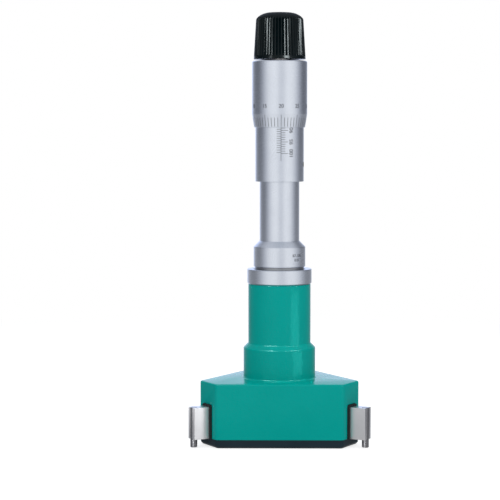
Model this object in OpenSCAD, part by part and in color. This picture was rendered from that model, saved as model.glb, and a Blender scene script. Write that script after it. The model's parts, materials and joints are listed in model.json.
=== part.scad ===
// Three-point inside micrometer, in millimetres, standing on its base plate.
// The origin is where the spindle axis meets the surface that the plate stands on. +Z runs up the spindle
// axis to the ratchet cap, the front flat of the head faces -Y and the rear anvil points along +Y.

/* [Measuring range] */
// Smallest bore that the three contact pins can touch
range_min = 87; // [84:0.5:98]
// How much larger the largest bore is
travel = 13; // [8:0.5:14]
// How far the thimble is opened from the smallest bore
opened = 1.7; // [1:0.1:8]

/* [Head] */
// Width of each corner face of the head, where an anvil comes out
corner_w = 14.8; // [13:0.1:18]
// Depth of each corner face inside the smallest bore
corner_back = 7.5; // [6:0.1:8.5]
// Rounding of the head's upright edges
head_edge = 2; // [1:0.1:3]
// Rounding of the head's top edge
head_brim = 0.8; // [0.4:0.1:1.5]
// Thickness of the roof over the anvil tails
roof_t = 5.6; // [4.5:0.1:9]
// Thickness of the base plate
plate_t = 3.7; // [3:0.1:6]
// Bevel round the lower edge of the base plate
plate_bevel = 1; // [0.5:0.1:1.5]
// Step from the head's sides in to the base plate
plate_inset = 0.15; // [0:0.05:1]

/* [Anvils] */
// Thickness of an anvil bar
anvil_t = 5.6; // [4:0.1:7]
// Height of an anvil bar
anvil_h = 13.9; // [11:0.1:15]
// Height of an anvil's slanted face that bears on the cone
bearing_h = 5; // [4:0.1:8]
// Distance from the axis to the back of an anvil's tail, at the smallest bore
tail_back = 13.2; // [11:0.1:16]
// Diameter of a contact pin
pin_d = 3; // [2:0.1:4]
// How far a contact pin stands out of its anvil's outer face
pin_proud = 0.35; // [0.2:0.05:0.8]
// Height of a contact pin's foot over the standing surface
pin_foot = 0.3; // [0.2:0.1:2]
// Wall of a wiper seal
seal_wall = 0.9; // [0.8:0.1:1.6]
// Depth of a wiper seal inside the head
seal_depth = 3; // [2:0.1:5]
// How far a wiper seal stands out of the corner face
seal_proud = 0.8; // [0.5:0.1:2]
// Outer diameter of an anvil spring
anvil_spring_d = 3.6; // [2.5:0.1:4]
// Length of an anvil spring at the largest bore
anvil_spring_min = 8.2; // [6:0.1:12]
// Wire of an anvil spring
anvil_wire = 0.5; // [0.3:0.05:0.7]

/* [Cone and push rod] */
// Radius of the cone's lower end
cone_tip_r = 1.5; // [1:0.1:2]
// Straight rim over the cone's wide end
cone_rim = 1; // [0.5:0.1:3]
// Diameter of the push rod
rod_d = 6; // [4:0.1:7]
// Diameter of the rod's lower end, which is fixed in the cone
rod_tail_d = 5; // [3:0.1:5.5]
// Length of the rod's lower end in the cone
rod_tail_len = 10; // [6:0.5:14]
// Diameter of the thrust ball
ball_d = 5; // [4:0.1:5.6]
// Outer diameter of the spring seat on the rod
rod_collar_d = 11.2; // [10.4:0.1:12]
// Thickness of the spring seat on the rod
rod_collar_t = 2; // [1.5:0.1:4]
// Mean diameter of the return spring
return_spring_d = 9; // [8:0.1:9.5]
// Wire of the return spring
return_wire = 0.8; // [0.5:0.05:1]
// Length of the return spring at the largest bore
return_spring_min = 7.5; // [7:0.1:12]

/* [Hub] */
// Diameter of the hub's tube
hub_d = 27.6; // [26:0.1:32]
// Step from the tube out to the flange
flange_step = 2.1; // [1.5:0.1:4]
// Height of the flange's upright wall
flange_h = 13.3; // [10:0.1:18]
// Bevel round the flange's lower edge
flange_foot = 0.4; // [0.2:0.1:1]
// Height of the hub from the head to the coupling ring
hub_h = 41.5; // [38:0.5:60]
// Length of the rod bush, which is also the thickness of the hub's inner wall
rod_bush_len = 7.6; // [5:0.1:10]
// Wall of the rod bush and of the guide bush
bush_wall = 2.6; // [2.2:0.1:4]
// Height of the coupling ring
ring_h = 6.7; // [5:0.1:12]
// How far the coupling ring stands out of the hub's tube
ring_proud = 0.4; // [0.2:0.05:1.5]
// Depth of the coupling ring's seat in the hub's upper end
ring_seat = 2.3; // [1.5:0.1:3]
// Bevel round the coupling ring's lower edge
ring_bevel = 0.6; // [0.3:0.1:0.8]
// Thickness of the collar washer
washer_t = 0.9; // [0.5:0.1:2]

/* [Barrel and sleeve] */
// Diameter of the barrel's tube
barrel_d = 17.4; // [16.5:0.1:19]
// Wall of the barrel's tube
barrel_wall = 2.5; // [1.5:0.1:2.5]
// Step from the barrel's tube out to its collar
collar_step = 2.7; // [2:0.1:4]
// Height of the collar
collar_h = 8.8; // [7:0.1:16]
// Length of the barrel's tube from the collar's cone to the sleeve
barrel_len = 26.1; // [24:0.1:50]
// Diameter of the barrel's spigot in the hub
spigot_d = 16; // [15.4:0.1:17.5]
// Length of the barrel's spigot in the hub
spigot_len = 17; // [10:0.5:20]
// Length of the guide bush
guide_bush_len = 6; // [4:0.1:7]
// Wall of the sleeve
sleeve_wall = 1.9; // [1.2:0.1:3]
// Height of the last graduation over the sleeve's lower end
scale_foot = 12.4; // [10:0.1:20]
// Length of the sleeve that stays inside the thimble at the smallest bore
sleeve_cover = 7; // [5:0.1:12]
// Diameter of the spanner hole in the sleeve
spanner_d = 2.4; // [1.5:0.1:4]
// Height of the spanner hole over the sleeve's lower end
spanner_z = 7.5; // [4:0.1:10]
// Turn of the spanner hole from the front to the right
spanner_turn = 80; // [0:1:180]
// Length of the barrel's inner thread
thread_len = 32; // [22:0.5:34]
// Height of the adjusting nut
adjust_h = 6.5; // [4:0.1:10]
// Wall of the slotted thread end inside the adjusting nut
adjust_wall = 2; // [1.5:0.1:3]
// Width of the slits in the barrel's thread end
slit_w = 0.8; // [0.4:0.1:1.5]

/* [Spindle and thimble] */
// Diameter of the spindle's thread
spindle_d = 8; // [6:0.1:9]
// Length of the spindle below the thimble's web
spindle_len = 58; // [52:0.5:62]
// Step from the spindle's thread in to its neck, which carries the thimble
thimble_neck = 0.5; // [0.3:0.1:1]
// Step from the spindle's thread out to its flange
spindle_step = 1.5; // [1:0.1:3]
// Thickness of the spindle's flange under the thimble's web
spindle_flange_t = 1.6; // [1:0.1:2.2]
// Wall of the thimble
thimble_wall = 1.35; // [0.9:0.05:3]
// Wall of the thimble at its bevelled edge
thimble_edge = 0.4; // [0.2:0.05:0.8]
// Height of the thimble's bevel
bevel_h = 5.8; // [4:0.1:9]
// Room between the sleeve and the thimble's web at the largest bore
web_room = 3; // [2.4:0.1:6]
// Thickness of the thimble's web
web_t = 3.4; // [2:0.1:6]
// Depth of the recess in the thimble's top
recess_h = 2.7; // [2.4:0.1:6]
// Wall round the recess in the thimble's top
recess_wall = 1.9; // [1:0.1:3]
// Bevel round the thimble's top edge
thimble_bevel = 0.5; // [0.2:0.1:0.8]
// Diameter of the thimble nut
thimble_nut_d = 15; // [12:0.1:18]
// Height of the thimble nut
thimble_nut_h = 2; // [1.5:0.1:2.2]

/* [Ratchet] */
// Diameter of the cap at its foot
cap_d = 22.8; // [22:0.1:25]
// Diameter that the cap's taper runs to at its top
cap_top_d = 20.4; // [19.6:0.1:22]
// Height of the cap
cap_h = 20.3; // [17:0.1:26]
// Height of the dome that rounds the cap's top
dome_h = 3.1; // [1.5:0.1:3.3]
// Width of the dome's curve
dome_w = 5.4; // [2:0.1:6]
// Gap between the thimble and the cap
cap_gap = 0.7; // [0.4:0.1:2]
// Number of flutes round the cap
flutes = 48; // [24:2:60]
// Depth of a flute
flute_depth = 0.55; // [0.2:0.05:0.6]
// Height of the plain rim at the cap's foot
cap_rim = 1.2; // [0.6:0.1:2]
// Thickness of the cap's closed end
cap_end = 3.8; // [3:0.1:5]
// Diameter of the cap's bore
cap_bore = 17; // [16:0.1:17.4]
// Depth of the keyways and of the circlip groove in the cap's bore
key_depth = 0.8; // [0.6:0.1:0.9]
// Width of a keyway in the cap's bore
key_w = 2.4; // [1.5:0.1:3]
// Number of teeth on each ratchet crown
teeth = 24; // [12:12:24]
// Height of a ratchet tooth
tooth_h = 0.7; // [0.4:0.05:1]
// Inner radius of the ratchet teeth
tooth_in = 5.2; // [5:0.1:6]
// Thickness of the ratchet stud's flange
stud_t = 1.7; // [1.2:0.1:2.5]
// Diameter of the ratchet stud's screw
stud_d = 4; // [3:0.1:4.5]
// Length of the ratchet stud's screw
stud_len = 12; // [8:0.5:14]
// Thickness of the ratchet ring
ratchet_ring_t = 2.6; // [2:0.1:4]
// Thickness of the circlip
circlip_t = 0.8; // [0.5:0.1:1]
// Wall of the circlip inside the cap's bore
circlip_w = 1.2; // [0.8:0.1:1.5]
// Height of the cap's lip under the circlip
cap_lip = 0.8; // [0.5:0.1:1.2]
// Wire of the ratchet spring
ratchet_wire = 0.9; // [0.5:0.05:1.2]

/* [Fasteners] */
// Diameter of the hub screws and the base screws
screw_d = 2.5; // [2:0.1:2.8]
// Head diameter of the hub screws and the base screws
screw_head_d = 4; // [3.6:0.1:4.2]
// Depth of a hub screw's thread in the flange
hub_screw_grip = 8; // [5:0.5:10]
// Depth of a base screw's thread in the head
base_screw_grip = 7.5; // [5:0.5:10]
// Distance of the base screws from the head's flat sides
base_screw_edge = 4.9; // [4:0.1:6]

/* [Hidden] */
$fn = 96;

// Finishes
paint = [0.01, 0.56, 0.52];
chrome = [0.80, 0.81, 0.84];
ground_steel = [0.86, 0.86, 0.87];
dark_plate = [0.15, 0.17, 0.20];
black_plastic = [0.06, 0.06, 0.07];
rubber = [0.05, 0.05, 0.05];
bronze = [0.72, 0.52, 0.26];
spring_steel = [0.55, 0.56, 0.58];
hard_metal = [0.40, 0.41, 0.43];

// Clearances: running fit on a radius, fixed fit on a radius, play along the axis, seat of a spring's end,
// room round what moves
run = 0.03;
fixed = 0.01;
play = 0.05;
spring_seat = 0.1;
room = 0.3;
// Overshoot of a cutting tool past the face that it cuts
past = 1;

// Directions of the three anvils, and of the screws between them, round the axis
REAR = 90;
LEFT = REAR + 120;
RIGHT = LEFT + 120;
ANVIL_TURNS = [LEFT, RIGHT, REAR];
SCREW_TURNS = [270, 30, 150];

// The cone moves one millimetre for each millimetre of bore, so an anvil moves half of that
cone_rise = 0.5;
to_largest = travel - opened;

// Plan of the head, measured outwards from the axis
head_corner = range_min / 2 - corner_back;
head_flat = head_corner * cos(60) + corner_w / 2 * sin(60);

// Heights of the head, from the standing surface up
bar_z = plate_t + run;
bar_top = plate_t + anvil_h;
tail_top = plate_t + room + travel + bearing_h;
head_top = tail_top + room + roof_t;

// Cone: at the largest bore its tip stands just over the base plate
cone_z = plate_t + room + to_largest;
cone_h = tail_top - plate_t - room;
cone_top_r = cone_tip_r + cone_rise * cone_h;
cone_top = cone_z + cone_h + cone_rim;
chamber_r = cone_top_r + 1.5 * room;
chamber_top = cone_top + opened + 4 * room;

// Anvils, measured outwards from the axis
contact_r = (range_min + opened) / 2;
face_r = contact_r - pin_proud;
pin_r = contact_r - pin_d / 2;
nose_r = anvil_t / 2 / tan(60) + room / 2 + opened * cone_rise;
nose_z = cone_z + (nose_r - run - cone_tip_r) / cone_rise;
tail_face = cone_tip_r + run + (tail_top - cone_z) * cone_rise;
tail_r = tail_back + opened * cone_rise;
spring_wall = tail_back + travel * cone_rise + anvil_spring_min + 2 * spring_seat;
slot_w = anvil_t + 2 * run;
seal_top = bar_top + seal_wall;
seal_w = anvil_t + 2 * seal_wall;

// Hub
hub_r = hub_d / 2;
flange_r = hub_r + flange_step;
flange_top = head_top + flange_h;
hub_top = head_top + hub_h;
bush_r = rod_d / 2 + run + bush_wall;
bush_top = chamber_top + rod_bush_len;
ring_r = hub_r + ring_proud;
ring_bore = hub_r - ring_seat;
ring_top = hub_top + ring_h;
spigot_r = spigot_d / 2;

// Barrel and sleeve
barrel_r = barrel_d / 2;
bore_r = barrel_r - barrel_wall;
collar_r = barrel_r + collar_step;
collar_z = ring_top + washer_t;
collar_top = collar_z + collar_h;
tube_z = collar_top + collar_step;
sleeve_z = tube_z + barrel_len;
sleeve_bore = barrel_r + run;
sleeve_r = sleeve_bore + sleeve_wall;
scale_z = sleeve_z + scale_foot;
sleeve_top = scale_z + travel + sleeve_cover;
thread_r = spindle_d / 2;
adjust_r = thread_r + run + adjust_wall;

// Thimble and spindle, which come down as the bore gets larger
edge_z = scale_z + to_largest;
thimble_bore = sleeve_r + 2 * play;
thimble_r = thimble_bore + thimble_wall;
web_z = edge_z + travel + sleeve_cover + web_room;
web_top = web_z + web_t;
thimble_top = web_top + recess_h;
spindle_z = web_z - spindle_len;
spindle_flange_r = thread_r + spindle_step;
neck_r = thread_r - thimble_neck;
stud_seat = thimble_top + cap_gap + 10 * play;

// Push rod, from the cone's hole up to the ball
ball_z = spindle_z - 2 * fixed - ball_d / 2;
rod_top = ball_z - ball_d / 5;
rod_collar_z = bush_top + return_spring_min + 2 * spring_seat + to_largest;

// Ratchet, from the cap's foot up
cap_z = thimble_top + cap_gap;
cap_r = cap_d / 2;
cap_top_r = cap_top_d / 2;
cap_bore_r = cap_bore / 2;
cap_ceiling = cap_z + cap_h - cap_end;
circlip_z = cap_z + cap_lip;
stud_r = cap_bore_r - room;
stud_flange = circlip_z + circlip_t + 3 * play;
crown_z = stud_flange + stud_t;
tooth_out = stud_r - 4 * play;
tooth_w = PI * tooth_in / teeth - 2 * run;
ratchet_ring_z = crown_z + tooth_h + play;
ratchet_ring_top = ratchet_ring_z + ratchet_ring_t;
ratchet_lift = tooth_h + 2 * play;

// Screws
hub_screw_r = (chamber_r + flange_r) / 2;
hub_screw_seat = head_top - 0.9 * roof_t;
screw_r = screw_d / 2;
screw_head_r = screw_head_d / 2;
screw_head_h = 0.9 * screw_d;
base_screw_r = head_flat - base_screw_edge;
sink_h = screw_head_r - screw_r;

// Middle of each of the head's six rounded upright edges, as [x, y]
function head_edges() =
    let (back = head_edge / cos(30))
    let (reach = norm([head_corner, corner_w / 2]), spread = atan(corner_w / 2 / head_corner))
    [for (turn = ANVIL_TURNS, side = [-1, 1])
        let (edge_turn = turn + side * spread, in_turn = turn + side * 30)
        [reach * cos(edge_turn) - back * cos(in_turn), reach * sin(edge_turn) - back * sin(in_turn)]];

// Posts along the head's six upright edges, drawn in from its sides by inset
module head_posts(low, high, inset) {
    for (edge = head_edges())
        translate([edge[0], edge[1], low]) cylinder(r = head_edge - inset, h = high - low, $fn = 32);
}

// Points of a wire wound into a coil along +Z, one ring of wire points after the other
function coil_points(mean_r, wire_r, length, turns, sides, steps) =
    [for (step = [0 : turns * steps], side = [0 : sides - 1])
        let (turn = 360 * step / steps, round_wire = 360 * side / sides)
        let (out = mean_r + wire_r * cos(round_wire))
        let (rise = wire_r + (length - 2 * wire_r) * step / (turns * steps))
        [out * cos(turn), out * sin(turn), rise + wire_r * sin(round_wire)]];

// Coil spring that stands on z = 0 and ends at z = length
module coil(mean_d, wire, length, turns) {
    sides = 6;
    steps = 14;
    last = turns * steps;
    walls = [for (step = [0 : last - 1], side = [0 : sides - 1])
        let (here = step * sides, next = (side + 1) % sides)
        [here + side, here + sides + side, here + sides + next, here + next]];
    ends = [[for (side = [0 : sides - 1]) side], [for (side = [sides - 1 : -1 : 0]) last * sides + side]];
    polyhedron(coil_points(mean_d / 2, wire / 2, length, turns, sides, steps), concat(walls, ends));
}

// Straight hole or shaft along Z
module shaft(r, low, high) {
    translate([0, 0, low]) cylinder(r = r, h = high - low);
}

// Ring along Z
module ring(outer, inner, low, high) {
    difference() {
        shaft(outer, low, high);
        shaft(inner, low - past, high + past);
    }
}

// Cut along an anvil's slot, from the axis out to a distance
module slot_cut(turn, width, out, low, high) {
    rotate([0, 0, turn]) translate([0, -width / 2, low]) cube([out, width, high - low]);
}

// One copy at the middle of each flat side, at a distance from the axis
module between_anvils(out) {
    for (turn = SCREW_TURNS)
        rotate([0, 0, turn]) translate([out, 0, 0]) children();
}

// Green block of the head, with the cone's chamber, the anvil slots and the screw holes
module head_body() {
    color(paint) difference() {
        hull() for (lean = [0 : 22.5 : 90])
            head_posts(plate_t, head_top - head_brim * (1 - sin(lean)), head_brim * (1 - cos(lean)));
        shaft(chamber_r, plate_t - past, head_top + past);
        for (turn = ANVIL_TURNS) {
            slot_cut(turn, slot_w, head_corner + past, plate_t - past, bar_top + run);
            slot_cut(turn, slot_w, spring_wall, plate_t, tail_top + room);
            rotate([0, 0, turn]) seal_form(head_corner - seal_depth, head_corner + past, fixed);
        }
        between_anvils(hub_screw_r) {
            shaft(screw_head_r + 2 * play, plate_t - past, hub_screw_seat);
            shaft(screw_r + fixed, plate_t, head_top + past);
        }
        between_anvils(base_screw_r)
            shaft(screw_r + fixed, plate_t - past, plate_t + base_screw_grip + room);
    }
}

// Green hub: flange, 45 degree shoulder and tube in one turned piece
module hub_tube() {
    color(paint) difference() {
        rotate_extrude() polygon([
            [0, head_top], [flange_r - flange_foot, head_top], [flange_r, head_top + flange_foot],
            [flange_r, flange_top], [hub_r, flange_top + flange_step], [hub_r, hub_top],
            [ring_bore, hub_top], [ring_bore, ring_top], [0, ring_top]
        ]);
        shaft(chamber_r, head_top - past, chamber_top);
        shaft(bush_r + fixed, chamber_top - past, bush_top);
        shaft(spigot_r + fixed, bush_top, ring_top + past);
        between_anvils(hub_screw_r)
            shaft(screw_r + fixed, head_top - past, head_top + hub_screw_grip + room);
    }
}

// Socket-head screws that hold the hub on the block, put in from below
module hub_screws() {
    color(spring_steel) between_anvils(hub_screw_r) difference() {
        union() {
            shaft(screw_head_r, hub_screw_seat - screw_head_h, hub_screw_seat);
            shaft(screw_r, hub_screw_seat, head_top + hub_screw_grip);
        }
        translate([0, 0, hub_screw_seat - screw_head_h - past])
            cylinder(r = screw_r, h = past + screw_head_h / 2, $fn = 6);
    }
}

// Dark plate under the head, with a bevelled lower edge
module base_plate() {
    color(dark_plate) difference() {
        hull() {
            head_posts(0, plate_t, plate_inset + plate_bevel);
            head_posts(plate_bevel, plate_t, plate_inset);
        }
        between_anvils(base_screw_r) {
            shaft(screw_r + 2 * fixed, -past, plate_t + past);
            shaft(screw_head_r + 2 * fixed, -past, room);
            translate([0, 0, room]) cylinder(r1 = screw_head_r + 2 * fixed, r2 = screw_r + 2 * fixed, h = sink_h);
        }
    }
}

// Countersunk screws that hold the plate
module base_screws() {
    color(spring_steel) between_anvils(base_screw_r) difference() {
        union() {
            translate([0, 0, room]) cylinder(r1 = screw_head_r, r2 = screw_r, h = sink_h);
            shaft(screw_r, room, plate_t + base_screw_grip);
        }
        translate([0, 0, room - past]) cylinder(r = 0.6 * screw_r, h = past + sink_h, $fn = 6);
    }
}

// Outer form of a wiper seal along +X, with rounded upper corners
module seal_form(from, to, grow) {
    half = seal_w / 2 + grow;
    top = seal_top + grow;
    translate([from, 0, 0]) rotate([90, 0, 90]) linear_extrude(to - from) union() {
        translate([-half, plate_t]) square([2 * half, top - seal_wall - plate_t]);
        translate([seal_wall - half, plate_t]) square([2 * (half - seal_wall), top - plate_t]);
        for (side = [-1, 1])
            translate([side * (half - seal_wall), top - seal_wall]) circle(r = seal_wall);
    }
}

// Black wiper round one anvil, in the mouth of its slot
module anvil_seal(turn) {
    color(rubber) difference() {
        rotate([0, 0, turn]) seal_form(head_corner - seal_depth, head_corner + seal_proud, 0);
        slot_cut(turn, anvil_t + 4 * run, head_corner + 2 * seal_proud, plate_t - past, bar_top + 2 * run);
    }
}
module anvil_seal_left() { anvil_seal(LEFT); }
module anvil_seal_right() { anvil_seal(RIGHT); }
module anvil_seal_rear() { anvil_seal(REAR); }

// Bronze bush in the hub's inner wall
module rod_bush() {
    color(bronze) ring(bush_r, rod_d / 2 + run, chamber_top, bush_top);
}

// Bright ring on the hub's upper end
module coupling_ring() {
    color(chrome) rotate_extrude() polygon([
        [ring_bore + fixed, hub_top], [ring_r - ring_bevel, hub_top], [ring_r, hub_top + ring_bevel],
        [ring_r, ring_top - ring_bevel / 2], [ring_r - ring_bevel / 2, ring_top], [ring_bore + fixed, ring_top]
    ]);
}

// Washer between the hub and the barrel's collar
module collar_washer() {
    color(spring_steel) ring(collar_r - ring_bevel, spigot_r + fixed, ring_top, collar_z);
}

// Barrel: spigot, collar, cone, tube and slotted thread end
module barrel() {
    slits = 3;
    color(chrome) difference() {
        rotate_extrude() polygon([
            [0, collar_z - spigot_len], [spigot_r, collar_z - spigot_len], [spigot_r, collar_z],
            [collar_r - ring_bevel / 2, collar_z], [collar_r, collar_z + ring_bevel / 2],
            [collar_r, collar_top], [barrel_r, tube_z], [barrel_r, sleeve_top - adjust_h],
            [adjust_r, sleeve_top - adjust_h], [adjust_r, sleeve_top], [0, sleeve_top]
        ]);
        shaft(bore_r, collar_z - spigot_len - past, sleeve_top - thread_len);
        shaft(thread_r + run, sleeve_top - thread_len - past, sleeve_top + past);
        for (turn = [0 : 360 / slits : 359])
            rotate([0, 0, turn]) translate([0, -slit_w / 2, sleeve_top - 1.5 * adjust_h])
                cube([barrel_r + past, slit_w, 2 * adjust_h]);
    }
}

// Bronze bush in the barrel's collar
module guide_bush() {
    color(bronze) ring(bore_r - fixed, rod_d / 2 + run, collar_z + past, collar_z + past + guide_bush_len);
}

// Nut that closes the barrel's slotted end on the spindle
module adjusting_nut() {
    nut_r = sleeve_bore - 5 * run;
    color(spring_steel) difference() {
        ring(nut_r, adjust_r + fixed, sleeve_top - adjust_h, sleeve_top - room);
        for (turn = [0, 180])
            rotate([0, 0, turn]) translate([adjust_r, -slit_w, sleeve_top - adjust_h / 3])
                cube([barrel_r, 2 * slit_w, adjust_h]);
    }
}

// Graduated sleeve, turned on the barrel by the spanner hole
module sleeve() {
    color(chrome) difference() {
        ring(sleeve_r, sleeve_bore, sleeve_z, sleeve_top);
        rotate([0, 0, spanner_turn - 90]) translate([sleeve_bore - past, 0, sleeve_z + spanner_z])
            rotate([0, 90, 0]) cylinder(d = spanner_d, h = sleeve_wall + 2 * past);
    }
}

// Cone that pushes the anvils out, wide end up
module expander_cone() {
    color(ground_steel) difference() {
        union() {
            translate([0, 0, cone_z]) cylinder(r1 = cone_tip_r, r2 = cone_top_r, h = cone_h);
            shaft(cone_top_r, cone_z + cone_h, cone_top);
        }
        shaft(rod_tail_d / 2 + fixed, cone_top - rod_tail_len, cone_top + past);
    }
}

// Rod from the cone up to the ball, with a cup for the ball
module push_rod() {
    color(ground_steel) difference() {
        union() {
            shaft(rod_tail_d / 2, cone_top - rod_tail_len + room, cone_top + past);
            shaft(rod_d / 2, cone_top, rod_top);
        }
        translate([0, 0, ball_z]) sphere(d = ball_d + 2 * fixed);
    }
}

// Ball between the rod and the spindle
module thrust_ball() {
    color(ground_steel) translate([0, 0, ball_z]) sphere(d = ball_d);
}

// Spring seat on the rod
module rod_collar() {
    color(spring_steel) ring(rod_collar_d / 2, rod_d / 2 + fixed, rod_collar_z, rod_collar_z + rod_collar_t);
}

// Spring that lifts the rod against the spindle
module return_spring() {
    color(spring_steel) translate([0, 0, bush_top + spring_seat])
        coil(return_spring_d, return_wire, rod_collar_z - bush_top - 2 * spring_seat, 8);
}

// Micrometer screw, with the flange that carries the thimble
module spindle() {
    color(ground_steel) difference() {
        union() {
            shaft(thread_r, spindle_z, web_z);
            shaft(spindle_flange_r, web_z - spindle_flange_t, web_z);
            shaft(neck_r, web_z - past, stud_seat);
        }
        shaft(stud_d / 2 + fixed, stud_seat - stud_len - room, stud_seat + past);
    }
}

// Thimble, with the bevelled edge that carries the divisions
module thimble() {
    color(chrome) difference() {
        rotate_extrude() polygon([
            [0, edge_z], [thimble_bore + thimble_edge, edge_z], [thimble_r, edge_z + bevel_h],
            [thimble_r, thimble_top - thimble_bevel], [thimble_r - thimble_bevel, thimble_top], [0, thimble_top]
        ]);
        shaft(thimble_bore, edge_z - past, web_z);
        shaft(neck_r + fixed, web_z - past, web_top + past);
        shaft(thimble_r - recess_wall, web_top, thimble_top + past);
    }
}

// Slotted nut that clamps the thimble on the spindle
module thimble_nut() {
    color(spring_steel) difference() {
        ring(thimble_nut_d / 2, neck_r + fixed, web_top, web_top + thimble_nut_h);
        for (turn = [0 : 90 : 270])
            rotate([0, 0, turn]) translate([0.8 * thimble_nut_d / 2, -slit_w, web_top - past])
                cube([thimble_nut_d, 2 * slit_w, thimble_nut_h + 2 * past]);
    }
}

// One ring of saw teeth on z = 0, pointing up
module crown(gap) {
    for (index = [0 : teeth - 1])
        rotate([0, 0, index * 360 / teeth]) translate([tooth_in, gap, 0]) rotate([90, 0, 90])
            linear_extrude(tooth_out - tooth_in) polygon([[0, 0], [tooth_w, 0], [0, tooth_h]]);
}

// Screw with the fixed crown and a post inside the ratchet spring
module ratchet_stud() {
    post_r = tooth_in - 2 * room - ratchet_wire;
    color(spring_steel) union() {
        shaft(stud_d / 2, stud_seat - stud_len, stud_seat + past);
        shaft(post_r, stud_seat, ratchet_ring_top + 2 * ratchet_ring_t);
        shaft(stud_r, stud_flange, crown_z);
        translate([0, 0, crown_z]) crown(0);
    }
}

// Keyed ring with the second crown, which lifts over the first as the ratchet slips
module ratchet_ring() {
    color(spring_steel) difference() {
        union() {
            shaft(stud_r, ratchet_ring_z, ratchet_ring_top);
            for (turn = [0 : 90 : 270])
                rotate([0, 0, turn]) translate([0, room - key_w / 2, ratchet_ring_z])
                    cube([cap_bore_r + key_depth - room / 2, key_w - 2 * room, ratchet_ring_t]);
            translate([0, 0, ratchet_ring_z]) rotate([180, 0, 0]) crown(fixed);
        }
        shaft(tooth_in - room, ratchet_ring_z - tooth_h - past, ratchet_ring_top + past);
    }
}

// Spring between the ratchet ring and the cap's end
module ratchet_spring() {
    color(spring_steel) translate([0, 0, ratchet_ring_top + spring_seat])
        coil(cap_bore_r + tooth_in - room, ratchet_wire, cap_ceiling - ratchet_ring_top - 2 * spring_seat, 5);
}

// Circlip in the cap's groove, under the stud's flange
module cap_circlip() {
    mouth_w = 5;
    color(spring_steel) difference() {
        ring(cap_bore_r + key_depth - fixed, cap_bore_r - circlip_w, circlip_z, circlip_z + circlip_t);
        translate([0, -mouth_w / 2, circlip_z - past]) cube([cap_r, mouth_w, circlip_t + 2 * past]);
    }
}

// V flutes along the cap's taper, from its plain rim out past its top
module cap_flutes() {
    lean = atan((cap_r - cap_top_r) / cap_h);
    side = flute_depth * sqrt(2);
    for (index = [0 : flutes - 1])
        rotate([0, 0, index * 360 / flutes]) translate([cap_r, 0, cap_z]) rotate([0, -lean, 0])
            translate([0, 0, cap_rim]) rotate([0, 0, 45]) translate([-side / 2, -side / 2, 0])
                cube([side, side, cap_h]);
}

// Black fluted cap, closed at the top and keyed inside
module ratchet_cap() {
    dome_z = cap_z + cap_h - dome_h;
    dome_r = cap_r + (cap_top_r - cap_r) * (cap_h - dome_h) / cap_h;
    dome_curve = 1.25;
    color(black_plastic) difference() {
        rotate_extrude() polygon([
            [0, cap_z], [cap_r, cap_z],
            for (lean = [0 : 15 : 90])
                [dome_r - dome_w * (1 - pow(cos(lean), dome_curve)), dome_z + dome_h * pow(sin(lean), dome_curve)],
            [0, cap_z + cap_h]
        ]);
        cap_flutes();
        shaft(cap_bore_r, cap_z - past, cap_ceiling);
        shaft(cap_bore_r + key_depth, circlip_z - play, circlip_z + circlip_t + play);
        for (turn = [0 : 90 : 270])
            rotate([0, 0, turn]) translate([0, -key_w / 2, cap_z - past])
                cube([cap_bore_r + key_depth, key_w, ratchet_ring_top + ratchet_lift + room - cap_z + past]);
    }
}

// Measuring bar with the tail that the cone pushes out
module anvil(turn) {
    color(ground_steel) rotate([0, 0, turn]) difference() {
        translate([0, anvil_t / 2, 0]) rotate([90, 0, 0]) linear_extrude(anvil_t) polygon([
            [nose_r, bar_z], [face_r, bar_z], [face_r, bar_top], [tail_r, bar_top],
            [tail_r, tail_top], [tail_face, tail_top], [nose_r, nose_z]
        ]);
        translate([pin_r, 0, 0]) shaft(pin_d / 2 + fixed, bar_z - past, bar_top + past);
    }
}
module anvil_left() { anvil(LEFT); }
module anvil_right() { anvil(RIGHT); }
module anvil_rear() { anvil(REAR); }

// Hard-metal pin along an anvil's outer face, reaching down past the plate
module contact_pin(turn) {
    color(hard_metal) rotate([0, 0, turn]) translate([pin_r, 0, 0]) shaft(pin_d / 2, pin_foot, bar_top);
}
module contact_pin_left() { contact_pin(LEFT); }
module contact_pin_right() { contact_pin(RIGHT); }
module contact_pin_rear() { contact_pin(REAR); }

// Spring on top of an anvil bar, between the tail and the end of its pocket
module anvil_spring(turn) {
    middle = (bar_top + tail_top + room) / 2;
    color(spring_steel) rotate([0, 0, turn]) translate([tail_r + spring_seat, 0, middle]) rotate([0, 90, 0])
        coil(anvil_spring_d - anvil_wire, anvil_wire, spring_wall - tail_r - 2 * spring_seat, 10);
}
module anvil_spring_left() { anvil_spring(LEFT); }
module anvil_spring_right() { anvil_spring(RIGHT); }
module anvil_spring_rear() { anvil_spring(REAR); }

head_body();
hub_tube();
hub_screws();
base_plate();
base_screws();
anvil_seal_left();
anvil_seal_right();
anvil_seal_rear();
rod_bush();
coupling_ring();
collar_washer();
barrel();
guide_bush();
adjusting_nut();
sleeve();
expander_cone();
push_rod();
thrust_ball();
rod_collar();
return_spring();
spindle();
thimble();
thimble_nut();
ratchet_stud();
ratchet_cap();
cap_circlip();
ratchet_spring();
ratchet_ring();
anvil_left();
anvil_right();
anvil_rear();
contact_pin_left();
contact_pin_right();
contact_pin_rear();
anvil_spring_left();
anvil_spring_right();
anvil_spring_rear();
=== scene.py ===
"""Looks of a three-point inside micrometer: finishes, fine edges, graduations and studio."""
import json
import math

import bmesh
import bpy
from mathutils import Matrix, Vector

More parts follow.
